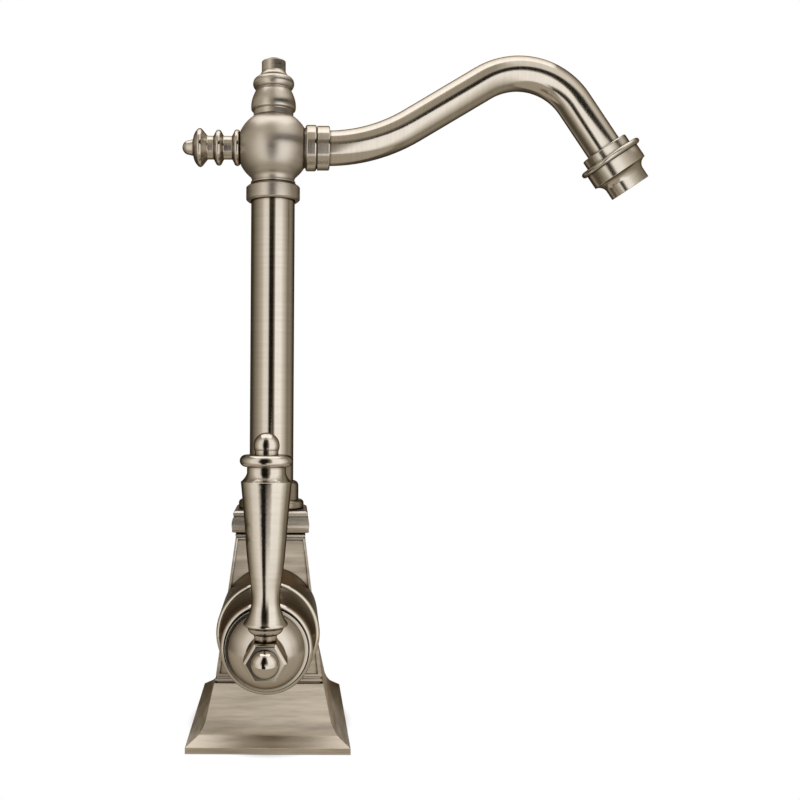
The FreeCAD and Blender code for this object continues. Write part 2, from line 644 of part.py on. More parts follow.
def top_finial():
    neck, bead_end = (TOP_NECK_RADIUS, TOP_NECK_RISE), (TOP_BEAD_END_RADIUS, TOP_BEAD_END_RISE)
    body = turned((0, -STUD_LENGTH), (STUD_RADIUS, -STUD_LENGTH), (STUD_RADIUS, 0), (TOP_BASE_RADIUS, 0),
                  (TOP_BASE_RADIUS, TOP_BASE_HEIGHT), (BELL_EDGE_RADIUS, BELL_EDGE_RISE),
                  [(BELL_RIM_RADIUS, BELL_RIM_RISE), (BELL_BULGE_RADIUS, BELL_BULGE_RISE), neck],
                  (TOP_BEAD_RADIUS, TOP_BEAD_RISE, *bead_end),
                  bowed(bead_end, (TOP_STUB_RADIUS, TOP_STUB_LOW), TOP_FLARE_SAG),
                  (TOP_STUB_RADIUS, TOP_STUB_HIGH), (TOP_END_RADIUS, TOP_END_RISE), (0, TOP_END_RISE))
    body.translate(place(0, seat_height(TOP_BASE_RADIUS)))
    return to_head(body, 0)


def side_finial():
    foot, tip = (SIDE_FOOT_RADIUS, 0), (SIDE_TIP_RADIUS, SIDE_TIP_RISE)
    steps = [(STUD_RADIUS, -STUD_LENGTH), (STUD_RADIUS, 0)]
    for radius, middle, flank in zip(SIDE_DISC_RADII, SIDE_DISC_PLACES, SIDE_FLANKS):
        if middle > flank:
            foot = (SIDE_NECK_RADIUS, middle - flank)
        near = (radius - SIDE_RIM_ROUND, middle - SIDE_RIM_HALF)
        far = (radius - SIDE_RIM_ROUND, middle + SIDE_RIM_HALF)
        steps += [foot, near, (radius, middle, *far), (SIDE_NECK_RADIUS, middle + flank)]
    steps[-1] = bowed(far, (SIDE_TIP_NECK_RADIUS, SIDE_TIP_NECK_RISE), -SIDE_SHOULDER_SAG)
    body = turned((0, -STUD_LENGTH), *steps, tip, domed(tip, (0, SIDE_END_RISE)))
    body.translate(place(0, seat_height(SIDE_SEAT_RADIUS)))
    return to_head(body, -QUARTER_TURN)


def flange_front():
    return seat_height(FLANGE_SEAT_RADIUS) + FLANGE_NECK + FLANGE_LENGTH


def spout_flange():
    seat = seat_height(FLANGE_SEAT_RADIUS)
    back, front = seat + FLANGE_NECK, flange_front()
    flank = FLANGE_RADIUS - FLANGE_ROUND
    back_round, front_round = (FLANGE_RADIUS, back + FLANGE_ROUND), (FLANGE_RADIUS, front - FLANGE_ROUND)
    body = turned((BALL_WATERWAY, seat - FLANGE_STUB_LENGTH), (FLANGE_STUB_RADIUS, seat - FLANGE_STUB_LENGTH),
                  (FLANGE_STUB_RADIUS, seat), (FLANGE_SEAT_RADIUS, seat), (FLANGE_SEAT_RADIUS, back),
                  (flank, back), eased((flank, back), back_round), front_round,
                  eased(front_round, (flank, front)), (BALL_WATERWAY, front))
    return to_head(body, QUARTER_TURN)


def spout_seal():
    front = flange_front()
    return to_head(tube(SPOUT_RADIUS, BALL_WATERWAY, front, front + SEAL_THICKNESS), QUARTER_TURN)


def spout_nut():
    back = flange_front() + SPOUT_GROOVE
    front = back + NUT_LENGTH
    flank = NUT_RADIUS - NUT_ROUND
    bore = SPOUT_RADIUS + SEAT_GAP
    front_round = (NUT_RADIUS, front - NUT_ROUND)
    body = turned((bore, flange_front()), (flank, flange_front()), (flank, back), (NUT_RADIUS, back),
                  front_round, eased(front_round, (flank, front)), (bore, front))
    return to_head(body, QUARTER_TURN)


def spout_route():
    """Edges of the spout's centre line, its end point and the direction it ends in."""
    here = place(flange_front() + SEAL_THICKNESS, HEAD_AXIS)
    heading = 0.0
    edges = []
    runs = ((SPOUT_LEAD, 0, 0), (RISE_LENGTH, RISE_BEND_RADIUS, RISE_ANGLE),
            (FALL_LENGTH, CREST_RADIUS, -RISE_ANGLE - FALL_ANGLE))
    for length, bend_radius, bend in runs:
        if bend:
            outward = heading - math.copysign(QUARTER_TURN, bend)
            start, middle, end = (math.radians(outward + part * bend) for part in (0, 0.5, 1))
            centre = here - place(math.cos(start), math.sin(start)) * bend_radius
            arc_middle = centre + place(math.cos(middle), math.sin(middle)) * bend_radius
            arc_end = centre + place(math.cos(end), math.sin(end)) * bend_radius
            edges.append(Part.Arc(here, arc_middle, arc_end).toShape())
            here = arc_end
            heading += bend
        ahead = here + place(math.cos(math.radians(heading)), math.sin(math.radians(heading))) * length
        edges.append(Part.LineSegment(here, ahead).toShape())
        here = ahead
    return edges, here, heading


def swept(edges, radius):
    start = edges[0].valueAt(edges[0].FirstParameter)
    ring = Part.Wire(Part.makeCircle(radius, start, X_AXIS))
    return Part.Wire(edges).makePipeShell([ring], True, False)


def spout_tube():
    edges = spout_route()[0]
    return swept(edges, SPOUT_RADIUS).cut(swept(edges, SPOUT_RADIUS - SPOUT_WALL))


def to_tip(shape):
    """Lay a turned piece along the spout's last run, its height counted past the collar's edge."""
    end, heading = spout_route()[1:]
    shape.rotate(ORIGIN, Y_AXIS, QUARTER_TURN - heading)
    along = place(math.cos(math.radians(heading)), math.sin(math.radians(heading)))
    shape.translate(end - along * TIP_OVERLAP)
    return shape


def bead_front():
    return TIP_COLLAR_LENGTH + TIP_BEAD_LENGTH


def spout_tip():
    bore = SPOUT_RADIUS + SEAT_GAP
    waterway = SPOUT_RADIUS - SPOUT_WALL
    bead_half = TIP_BEAD_LENGTH / 2
    thread_end = bead_front() + TIP_THREAD_LENGTH
    mouth = (TIP_COLLAR_RADIUS - TIP_COLLAR_ROUND, 0)
    body = turned((bore, 0), mouth, eased(mouth, (TIP_COLLAR_RADIUS, TIP_COLLAR_ROUND)),
                  (TIP_COLLAR_RADIUS, TIP_COLLAR_LENGTH), (TIP_BEAD_RADIUS - bead_half, TIP_COLLAR_LENGTH),
                  (TIP_BEAD_RADIUS, TIP_COLLAR_LENGTH + bead_half, TIP_BEAD_RADIUS - bead_half, bead_front()),
                  (TIP_THREAD_RADIUS, bead_front()), (TIP_THREAD_RADIUS, thread_end), (waterway, thread_end),
                  (waterway, TIP_OVERLAP), (bore, TIP_OVERLAP))
    return to_tip(body)


def outlet_front():
    return bead_front() + AERATOR_BODY + AERATOR_STEP + OUTLET_LENGTH


def aerator_shell():
    back = bead_front()
    body_front = back + AERATOR_BODY
    step_front = body_front + AERATOR_STEP
    front = outlet_front()
    thread_bore = TIP_THREAD_RADIUS + SEAT_GAP
    outlet_bore = OUTLET_RADIUS - OUTLET_WALL
    chamber_front = back + TIP_THREAD_LENGTH + WASHER_THICKNESS
    body = turned((thread_bore, back), (AERATOR_RADIUS, back), (AERATOR_RADIUS, body_front),
                  bowed((AERATOR_RADIUS, body_front), (OUTLET_RADIUS, step_front), AERATOR_STEP_SAG),
                  (OUTLET_RADIUS, front), (outlet_bore, front), (outlet_bore, chamber_front),
                  (thread_bore, chamber_front))
    return to_tip(body)


def aerator_washer():
    back = bead_front() + TIP_THREAD_LENGTH
    return to_tip(tube(TIP_THREAD_RADIUS, SPOUT_RADIUS - SPOUT_WALL, back, back + WASHER_THICKNESS))


def aerator_insert():
    front = outlet_front() - OUTLET_RECESS
    back = front - INSERT_LENGTH
    body = rod(OUTLET_RADIUS - OUTLET_WALL - SEAT_GAP, back, front)
    jets = []
    for reach, count in zip(INSERT_JET_REACHES, INSERT_JET_COUNTS):
        for number in range(count):
            jet = rod(INSERT_JET_RADIUS, back, front)
            jet.translate(X_AXIS * reach)
            jet.rotate(ORIGIN, Z_AXIS, number * FULL_TURN / count)
            jets.append(jet)
    return to_tip(body.cut(Part.makeCompound(jets)))


def valve_body():
    body = rod(VALVE_BODY_RADIUS, -VALVE_BODY_BACK, VALVE_BODY_FRONT)
    for side in (-DISC_PORT_OFFSET, DISC_PORT_OFFSET):
        port = rod(DISC_PORT_RADIUS, 0, VALVE_BODY_FRONT)
        port.translate(Y_AXIS * side)
        body = body.cut(port)
    body = to_valve(body)
    top, bottom = VALVE_HEIGHT + VALVE_BODY_RADIUS, VALVE_HEIGHT - VALVE_BODY_RADIUS
    body = body.cut(rod(RISER_RADIUS + SEAT_GAP, top - RISER_SEAT, top))
    body = body.cut(rod(RISER_PORT_RADIUS, VALVE_HEIGHT + DISC_PORT_OFFSET, top))
    return body.cut(rod(INLET_PORT_RADIUS, bottom, VALVE_HEIGHT - DISC_PORT_OFFSET))


def valve_drum():
    bore = CARTRIDGE_RADIUS + SEAT_GAP
    back_bore, inside = VALVE_BODY_RADIUS + SEAT_GAP, DRUM_RADIUS - DRUM_WALL
    front_round = (DRUM_RADIUS, DRUM_FRONT - DRUM_EDGE)
    body = turned((back_bore, DRUM_SEAT), (DRUM_RADIUS, DRUM_SEAT), front_round,
                  eased(front_round, (DRUM_RADIUS - DRUM_EDGE, DRUM_FRONT)), (bore, DRUM_FRONT),
                  (bore, DRUM_FRONT - DRUM_FRONT_WALL), (inside, DRUM_FRONT - DRUM_FRONT_WALL),
                  (inside, DRUM_SEAT + DRUM_WALL), (back_bore, DRUM_SEAT + DRUM_WALL))
    return to_valve(body)


def bonnet():
    bore = CARTRIDGE_RADIUS + SEAT_GAP
    stem_bore = STEM_RADIUS + BONNET_STEM_SLACK
    bead_end = BONNET_FRONT + BEAD_LENGTH
    bead_flank = BEAD_RADIUS - BEAD_ROUND
    cone_back = (BONNET_BACK_RADIUS, DRUM_FRONT + BONNET_GROOVE_LENGTH)
    cone_front = (BONNET_FRONT_RADIUS, BONNET_FRONT - BONNET_GROOVE_LENGTH)
    back_groove, front_groove = cone_back[0] - BONNET_GROOVE_DEPTH, cone_front[0] - BONNET_GROOVE_DEPTH
    body = turned((bore, DRUM_FRONT), (back_groove, DRUM_FRONT), (back_groove, cone_back[1]), cone_back,
                  bowed(cone_back, cone_front, BONNET_SAG), (front_groove, cone_front[1]),
                  (front_groove, BONNET_FRONT), (bead_flank, BONNET_FRONT),
                  (BEAD_RADIUS, BONNET_FRONT + BEAD_LENGTH / 2, bead_flank, bead_end),
                  (BEAD_GROOVE_RADIUS, bead_end), (BEAD_GROOVE_RADIUS, bead_end - BEAD_GROOVE_LENGTH),
                  (INNER_RING_RADIUS, bead_end - BEAD_GROOVE_LENGTH), (INNER_RING_RADIUS, INNER_RING_FRONT),
                  (stem_bore, INNER_RING_FRONT), (stem_bore, CARTRIDGE_FRONT), (bore, CARTRIDGE_FRONT))
    return to_valve(body)


def disc(low, gap):
    """Ceramic disc with two waterways, set above one another when the valve is shut."""
    body = rod(DISC_RADIUS - gap, low, low + DISC_THICKNESS)
    for side in (-DISC_PORT_OFFSET, DISC_PORT_OFFSET):
        port = rod(DISC_PORT_RADIUS, low, low + DISC_THICKNESS)
        port.translate(Y_AXIS * side)
        body = body.cut(port)
    return body


def fixed_disc():
    return to_valve(disc(VALVE_BODY_FRONT, SEAT_GAP))


def moving_disc():
    shut = disc(MOVING_DISC_BACK, TURNING_FACE_GAP)
    shut.rotate(ORIGIN, Z_AXIS, QUARTER_TURN)
    return to_valve(shut)


def cartridge_sleeve():
    flange_room = STEM_SHAFT_BACK + TURNING_FACE_GAP
    body = rod(CARTRIDGE_RADIUS, VALVE_BODY_FRONT, CARTRIDGE_FRONT)
    body = body.cut(rod(DISC_RADIUS, VALVE_BODY_FRONT, flange_room))
    return to_valve(body.cut(rod(STEM_RADIUS + RUNNING_GAP, flange_room, CARTRIDGE_FRONT)))


def stem_seal_place():
    return CARTRIDGE_FRONT - STEM_SEAL_PLACE


def valve_stem():
    body = turned((0, STEM_BACK), (DISC_RADIUS - TURNING_FACE_GAP, STEM_BACK),
                  (DISC_RADIUS - TURNING_FACE_GAP, STEM_SHAFT_BACK), (STEM_RADIUS, STEM_SHAFT_BACK),
                  (STEM_RADIUS, HUB_BACK), (STEM_TAIL_RADIUS, HUB_BACK), (STEM_TAIL_RADIUS, STEM_FRONT),
                  (0, STEM_FRONT))
    half = STEM_SEAL_THICKNESS / 2 + O_RING_GROOVE_SLACK
    middle = stem_seal_place()
    groove_radius = STEM_RADIUS - STEM_SEAL_THICKNESS - SEAT_GAP
    body = body.cut(tube(STEM_RADIUS + RUNNING_GAP, groove_radius, middle - half, middle + half))
    screw_hole = rod(HUB_SCREW_RADIUS + SEAT_GAP, hub_screw_seat() - HUB_SCREW_LENGTH, STEM_FRONT)
    return to_valve(body.cut(screw_hole))


def stem_o_ring():
    return to_valve(o_ring(STEM_RADIUS, STEM_SEAL_THICKNESS, stem_seal_place()))


def handle_skirt():
    edge, top = (SKIRT_RADIUS, SKIRT_BACK + SKIRT_EDGE), (SKIRT_TOP_RADIUS, HUB_BACK)
    bore = STEM_RADIUS + SEAT_GAP
    body = turned((bore, SKIRT_BACK), (SKIRT_RADIUS, SKIRT_BACK), edge, domed(edge, top), (bore, HUB_BACK))
    return to_valve(body)


def hub_screw_seat():
    """Distance of the screw head's underside, inside the hub's front pocket."""
    return STEM_FRONT + HUB_SCREW_WEB


def lever_hub():
    corner = HUB_ACROSS_FLATS / 2 / math.cos(math.pi / HUB_SIDES)
    corners = []
    for number in range(HUB_SIDES + 1):
        angle = math.radians(number * FULL_TURN / HUB_SIDES)
        corners.append(FreeCAD.Vector(corner * math.cos(angle), corner * math.sin(angle), HUB_BACK))
    body = Part.Face(Part.makePolygon(corners)).extrude(Z_AXIS * HUB_LENGTH)
    front_edges = [edge for edge in body.Edges if edge.CenterOfMass.z > HUB_FRONT - HUB_CHAMFER]
    body = body.makeChamfer(HUB_CHAMFER, front_edges)
    body = body.cut(rod(STEM_TAIL_RADIUS + SEAT_GAP, HUB_BACK, STEM_FRONT))
    body = body.cut(rod(HUB_SCREW_RADIUS + SEAT_GAP, STEM_FRONT, hub_screw_seat()))
    body = body.cut(rod(HUB_SCREW_HEAD_RADIUS + SEAT_GAP, hub_screw_seat(), HUB_FRONT))
    body = body.cut(rod(BUTTON_STEM_RADIUS + SEAT_GAP, HUB_FRONT - BUTTON_STEM, HUB_FRONT))
    return to_valve(body).cut(stud_rod(LEVER_STUD_RADIUS + SEAT_GAP))


def hub_screw():
    seat = hub_screw_seat()
    head = rod(HUB_SCREW_HEAD_RADIUS, seat, seat + HUB_SCREW_HEAD)
    return to_valve(rod(HUB_SCREW_RADIUS, seat - HUB_SCREW_LENGTH, seat).fuse(head))


def button_cap():
    back = HUB_FRONT - BUTTON_STEM
    dome_back = HUB_FRONT + BUTTON_NECK
    body = turned((0, back), (BUTTON_STEM_RADIUS, back), (BUTTON_STEM_RADIUS, HUB_FRONT),
                  (BUTTON_NECK_RADIUS, HUB_FRONT), (BUTTON_NECK_RADIUS, dome_back),
                  (BUTTON_DOME_RADIUS, dome_back),
                  domed((BUTTON_DOME_RADIUS, dome_back), (0, dome_back + BUTTON_DOME)))
    return to_valve(body)


def hub_top():
    return VALVE_HEIGHT + HUB_ACROSS_FLATS / 2


def stud_rod(radius):
    low = hub_top() - LEVER_STUD_IN_HUB
    stud = rod(radius, low, low + LEVER_STUD_LENGTH)
    stud.translate(Y_AXIS * -LEVER_PLACE)
    return stud


def lever_stud():
    return stud_rod(LEVER_STUD_RADIUS)


def lever():
    neck, bowl = (LEVER_NECK_RADIUS, LEVER_NECK), (LEVER_BOWL_RADIUS, LEVER_BOWL)
    shoulder, throat = (LEVER_SHOULDER_RADIUS, LEVER_SHOULDER), (LEVER_THROAT_RADIUS, LEVER_THROAT)
    ring_top = LEVER_RING + LEVER_RING_HEIGHT
    ring_flank = LEVER_RING_RADIUS - LEVER_RING_ROUND
    ball_low = LEVER_BALL - math.sqrt(LEVER_BALL_RADIUS ** 2 - LEVER_BALL_NECK_RADIUS ** 2)
    body = turned((0, 0), (LEVER_FOOT_RADIUS, 0), neck, bowed(neck, bowl, -LEVER_BOWL_SAG),
                  (LEVER_RIM_RADIUS, LEVER_RIM), (LEVER_RIM_RADIUS, LEVER_RIM + LEVER_RIM_EDGE),
                  [(LEVER_FLARE_RADIUS, LEVER_FLARE), (LEVER_WAIST_RADIUS, LEVER_WAIST),
                   (LEVER_GRIP_LOW_RADIUS, LEVER_GRIP_LOW), (LEVER_GRIP_RADIUS, LEVER_GRIP), shoulder],
                  bowed(shoulder, throat, LEVER_THROAT_SAG), (LEVER_THROAT_RADIUS, LEVER_RING),
                  (ring_flank, LEVER_RING),
                  (LEVER_RING_RADIUS, (LEVER_RING + ring_top) / 2, ring_flank, ring_top),
                  (LEVER_BALL_NECK_RADIUS, ring_top), (LEVER_BALL_NECK_RADIUS, ball_low),
                  (LEVER_BALL_RADIUS, LEVER_BALL, 0, LEVER_BALL + LEVER_BALL_RADIUS))
    body.translate(FreeCAD.Vector(0, -LEVER_PLACE, hub_top()))
    return body.cut(stud_rod(LEVER_STUD_RADIUS + SEAT_GAP))


PIECES = (foot, foot_gasket, threaded_bush, pedestal, capital, column_socket, column_tube, riser_tube,
          swivel_collar, swivel_spigot, spigot_o_rings, retaining_clip, head_ball, top_finial, side_finial,
          spout_flange, spout_seal, spout_nut, spout_tube, spout_tip, aerator_shell, aerator_washer,
          aerator_insert, valve_body, valve_drum, bonnet, fixed_disc, moving_disc, cartridge_sleeve,
          valve_stem, stem_o_ring, handle_skirt, lever_hub, hub_screw, button_cap, lever_stud, lever)

os.makedirs("parts", exist_ok=True)
for piece in PIECES:
    piece().exportStep(f"parts/{piece.__name__}.step")
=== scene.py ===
import json
import math
import bmesh
import bpy
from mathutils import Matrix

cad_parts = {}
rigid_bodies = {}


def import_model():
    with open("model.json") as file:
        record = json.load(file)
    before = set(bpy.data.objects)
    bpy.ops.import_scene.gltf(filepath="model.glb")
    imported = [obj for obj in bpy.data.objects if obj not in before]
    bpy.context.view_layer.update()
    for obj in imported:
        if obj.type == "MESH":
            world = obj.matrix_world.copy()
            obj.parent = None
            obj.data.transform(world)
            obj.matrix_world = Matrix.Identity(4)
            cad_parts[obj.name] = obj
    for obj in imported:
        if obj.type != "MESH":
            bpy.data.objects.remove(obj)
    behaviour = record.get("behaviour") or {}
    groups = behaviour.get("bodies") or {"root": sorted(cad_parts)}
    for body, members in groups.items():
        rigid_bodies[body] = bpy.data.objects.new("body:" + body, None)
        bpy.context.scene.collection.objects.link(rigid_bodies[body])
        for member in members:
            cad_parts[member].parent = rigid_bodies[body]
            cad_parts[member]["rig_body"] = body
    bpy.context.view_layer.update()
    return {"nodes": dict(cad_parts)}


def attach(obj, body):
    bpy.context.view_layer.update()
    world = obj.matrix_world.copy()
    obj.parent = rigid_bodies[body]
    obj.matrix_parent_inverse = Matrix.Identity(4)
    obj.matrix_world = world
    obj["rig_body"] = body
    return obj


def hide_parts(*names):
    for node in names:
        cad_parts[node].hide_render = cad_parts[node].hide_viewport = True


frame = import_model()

# Instant hot water tap in satin nickel
# Metres: +Z up on the column's axis, the spout along +X, the lever valve towards -Y

# Camera: level, looking along +Y, at the photograph's height and distance
IMAGE_SIZE = 800
FOCAL_PIXELS = 1000.0
VANISHING_POINT = (290.3, 406.0)
CAMERA_PLACE = (0.0077, -0.417, 0.1303)
CAMERA_ROLL = math.radians(-0.33)
SENSOR_WIDTH = 36.0
CLIP_START = 0.01

# Rounding of the corners of turned and cast pieces
CAST_EDGE = 0.0005
TURNED_EDGE = 0.0002
FINE_EDGE = 0.00012
EDGE_STEPS = 2
ROUND_PROFILE = 0.5
SHARP_ANGLE = math.radians(24)
FLAT_ANGLE = math.radians(0.15)
WELD_DISTANCE = 1e-6

# Brushed lines: changes per metre across them, fine and coarse, and along them, and the noise's detail
BRUSH_FINE = 4200.0
BRUSH_COARSE = 900.0
CAST_COARSE = 450.0
BRUSH_LENGTH = 45.0
FINE_DETAIL = 2.0
COARSE_DETAIL = 3.0

# Depth of the lines, and how they change tone and roughness
BRUSH_DEPTH = 0.000012
BRUSH_BUMP = 0.2
LINE_TONE = (0.3, 1.0)
LINE_ROUGHNESS = (0.92, 1.12)

# Whether the lines spread light along themselves or across, as a share of a full turn
ALONG_LINES = 0.0
ACROSS_LINES = 0.25

# Plate of turned and of cast pieces, bright and dark, and its tint at grazing angles
NICKEL = (0.565, 0.515, 0.45)
NICKEL_DARK = (0.50, 0.45, 0.385)
CAST_PLATE = (0.65, 0.575, 0.475)
CAST_DARK = (0.31, 0.265, 0.205)
GRAZING = (0.25, 0.19, 0.13)

# Slope of the lines' axis at the spout's tip, down from +X
TIP_LINES_SLOPE = math.radians(34)

# Painted shade: dark brown laid into the corners between mouldings, where ambient occlusion finds them
# sheltered
CREASE_PAINTED_SHADE = (0.10, 0.075, 0.045)
CREASE_REACH = 0.0016
CREASE_SAMPLES = 8
CREASE_RANGE = (0.3, 0.85)

# Grain of the plain finishes
GRAIN_DETAIL = 4.0
GRAIN_BUMP = 0.3
GRAIN_DARK = 0.85
GRAIN_ROUGHNESS = 0.05

# Noise in every finish, and the range that its values mostly fill
NOISE_ROUGHNESS = 0.6
NOISE_RANGE = (0.3, 0.7)

# Light round the tap: degrees from 0 towards the camera, growing towards the spout, and the strength there
WALL_LIGHT = ((-180, 0.45), (-160, 0.14), (-137, 0.11), (-96, 0.44), (-56, 0.75), (-44, 1.25),
              (-30, 1.2), (-18, 0.42), (0, 0.36), (8, 0.4), (13, 0.6), (20, 1.5), (44, 1.5), (56, 1.25),
              (69, 0.95), (82, 0.6), (97, 0.3), (115, 0.6), (140, 0.2), (160, 0.14), (180, 0.45))
CEILING_LIGHT = ((-180, 0.3), (-120, 0.3), (-40, 0.75), (-15, 0.5), (8, 0.5), (20, 1.15), (60, 1.15),
                 (110, 0.5), (180, 0.3))
GAP_LIGHT = ((-180, 0.2), (-60, 0.6), (-44, 1.15), (-30, 1.1), (-18, 0.42), (1, 0.36), (6, 0.02),
             (70, 0.02), (95, 0.2), (180, 0.2))
CARD_LIGHT = ((-180, 0.45), (-160, 0.14), (-120, 0.11), (-80, 0.45), (-55, 0.8), (-40, 1.25),
              (-22, 1.25), (-14, 0.01), (3, 0.01), (8, 0.2), (12, 0.45), (17, 1.5), (44, 1.5),
              (60, 1.0), (85, 0.35), (110, 0.4), (140, 0.12), (160, 0.14), (180, 0.45))
CARD_FOOT_LIGHT = ((-180, 0.45), (-160, 0.14), (-120, 0.11), (-80, 0.35), (-55, 0.7), (-22, 1.3),
                   (-15, 1.2), (-11.5, 0.01), (-2, 0.01), (3, 1.2), (10, 1.4), (44, 1.3), (60, 0.8),
                   (85, 0.3), (110, 0.3), (140, 0.12), (160, 0.14), (180, 0.45))

# Tent far round the tap: a wall, a gap and a ceiling, each blending into the next between two elevations
TENT_RADIUS = 2.2
TENT_SEGMENTS = 64
TENT_RINGS = 32
WALL_TOP = (9.0, 13.0)
CEILING_FOOT = (30.0, 36.0)

# Ring of cards close round the tap, whose foot blends into the rest between two elevations
CARD_RADIUS = 0.20
CARD_TOP = 0.272
CARD_STEPS = 72
CARD_FOOT_END = (11.0, 22.0)

# Card on the table and softbox overhead
TABLE_HEIGHT = 0.0006
TABLE_LIGHT = 0.55
SOFTBOX_LIGHT = 1.9
SOFTBOX_HEIGHT = 1.35
SOFTBOX_HALF_WIDTH = 0.75
SOFTBOX_FRONT = -0.34
SOFTBOX_BACK = 1.05

# Strength of white light, and the tints of dim and of full light
PEAK_LIGHT = 1.5
WARM_DARK = (1.0, 0.86, 0.62)
NEUTRAL = (1.0, 1.0, 1.0)

# Floor, where the shadow fades out between two shares of the foot's half width and half depth
FLOOR_SIZE = 6.0
FLOOR_ALBEDO = 0.95
SHADOW_REACH = (0.94, 1.12)
FOOT_HALF_WIDTH = 0.031
FOOT_HALF_DEPTH = 0.0435


def shader_nodes(name):
    """A new material with an empty node tree but for its output."""
    material = bpy.data.materials.new(name)
    material.use_nodes = True
    tree = material.node_tree
    tree.nodes.clear()
    output = tree.nodes.new("ShaderNodeOutputMaterial")
    return material, tree, output


def add(tree, kind, **inputs):
    """Adds a node with the given input values, whose names have an underscore for each space."""
    node = tree.nodes.new(kind)
    for key, value in inputs.items():
        node.inputs[key.replace("_", " ")].default_value = value
    return node


def add_linked(tree, kind, socket, source, **inputs):
    """Adds a node with one input linked and the others given."""
    node = add(tree, kind, **inputs)
    tree.links.new(source, node.inputs[socket])
    return node


def stretched_noise(tree, turn, stretch, detail):
    """Noise drawn out into long fine lines; stretch is how fast it changes along each axis."""
    place = tree.nodes.new("ShaderNodeTexCoord")
    mapping = add(tree, "ShaderNodeMapping", Rotation=turn)
    scale = add(tree, "ShaderNodeMapping", Scale=stretch)
    noise = add(tree, "ShaderNodeTexNoise", Scale=1.0, Detail=detail, Roughness=NOISE_ROUGHNESS)
    tree.links.new(place.outputs["Object"], mapping.inputs["Vector"])
    tree.links.new(mapping.outputs["Vector"], scale.inputs["Vector"])
    tree.links.new(scale.outputs["Vector"], noise.inputs["Vector"])
    return noise.outputs["Fac"]


def mapped(tree, source, old, new=(0.0, 1.0)):
    """Maps a value from the old range to the new one."""
    node = add_linked(tree, "ShaderNodeMapRange", "Value", source, From_Min=old[0], From_Max=old[1],
                      To_Min=new[0], To_Max=new[1])
    return node.outputs["Result"]


def blend(tree, share, first, second):
    """Blend of two colours, each a plain colour or another node's."""
    mix = tree.nodes.new("ShaderNodeMix")
    mix.data_type = "RGBA"
    tree.links.new(share, mix.inputs["Factor"])
    for side, colour in (("A", first), ("B", second)):
        if isinstance(colour, tuple):
            mix.inputs[side].default_value = (*colour, 1)
        else:
            tree.links.new(colour, mix.inputs[side])
    return mix.outputs["Result"]


def reckoned(tree, operation, first, second):
    """One operation on two values, the second a plain number or another node's."""
    node = add_linked(tree, "ShaderNodeMath", 0, first)
    node.operation = operation
    if isinstance(second, float):
        node.inputs[1].default_value = second
    else:
        tree.links.new(second, node.inputs[1])
    return node.outputs["Value"]


def bumped(tree, source, strength, distance):
    """Normal of a surface raised by a height value."""
    bump = add_linked(tree, "ShaderNodeBump", "Height", source, Strength=strength, Distance=distance)
    return bump.outputs["Normal"]


def painted_crease_shade_share(tree):
    """Mask of the painted shade: 1 on open surfaces, falling to 0 in the corners between mouldings."""
    occlusion = add(tree, "ShaderNodeAmbientOcclusion", Distance=CREASE_REACH)
    occlusion.samples = CREASE_SAMPLES
    return mapped(tree, occlusion.outputs["AO"], CREASE_RANGE)


def nickel(name, axis, roughness, depth=1.0, turn=(0, 0, 0), anisotropy=0.5, spread=ACROSS_LINES,
           coarse=BRUSH_COARSE, plate=NICKEL, dark=NICKEL_DARK):
    """Nickel plate brushed round an axis, so that its lines follow each other along that axis."""
    material, tree, output = shader_nodes(name)
    stretches = []
    for lines in (BRUSH_FINE, coarse):
        stretch = [BRUSH_LENGTH] * 3
        stretch[axis] = lines
        stretches.append(stretch)
    fine_lines = stretched_noise(tree, turn, stretches[0], FINE_DETAIL)
    coarse_lines = stretched_noise(tree, turn, stretches[1], COARSE_DETAIL)
    tone = blend(tree, mapped(tree, coarse_lines, NOISE_RANGE, LINE_TONE), dark, plate)
    rough = mapped(tree, coarse_lines, NOISE_RANGE, [share * roughness for share in LINE_ROUGHNESS])
    tangent = tree.nodes.new("ShaderNodeTangent")
    tangent.direction_type = "RADIAL"
    tangent.axis = "XYZ"[axis]

    metal = add(tree, "ShaderNodeBsdfPrincipled", Metallic=1.0, Specular_Tint=(*GRAZING, 1),
                Anisotropic=anisotropy, Anisotropic_Rotation=spread)
    # Painted shade: the plate's tone gives way to a dark brown in the corners between mouldings
    tree.links.new(blend(tree, painted_crease_shade_share(tree), CREASE_PAINTED_SHADE, tone), metal.inputs["Base Color"])
    tree.links.new(rough, metal.inputs["Roughness"])
    tree.links.new(bumped(tree, fine_lines, BRUSH_BUMP * depth, BRUSH_DEPTH), metal.inputs["Normal"])
    tree.links.new(tangent.outputs["Tangent"], metal.inputs["Tangent"])
    tree.links.new(metal.outputs["BSDF"], output.inputs["Surface"])
    return material


def plain_finish(name, colour, roughness, grain, depth, metallic=0.0):
    """Rubber, ceramic, plastic or bare metal with a fine even grain."""
    material, tree, output = shader_nodes(name)
    noise = stretched_noise(tree, (0, 0, 0), [grain] * 3, GRAIN_DETAIL)
    tone = blend(tree, noise, tuple(GRAIN_DARK * part for part in colour), colour)
    rough = mapped(tree, noise, NOISE_RANGE, (roughness - GRAIN_ROUGHNESS, roughness + GRAIN_ROUGHNESS))
    surface = add(tree, "ShaderNodeBsdfPrincipled", Metallic=metallic)
    tree.links.new(tone, surface.inputs["Base Color"])
    tree.links.new(rough, surface.inputs["Roughness"])
    tree.links.new(bumped(tree, noise, GRAIN_BUMP, depth), surface.inputs["Normal"])
    tree.links.new(surface.outputs["BSDF"], output.inputs["Surface"])
    return material


def bare_metal(name, colour):
    """Machined or drawn metal without plate."""
    return plain_finish(name, colour, roughness=0.3, grain=1500.0, depth=0.00001, metallic=1.0)


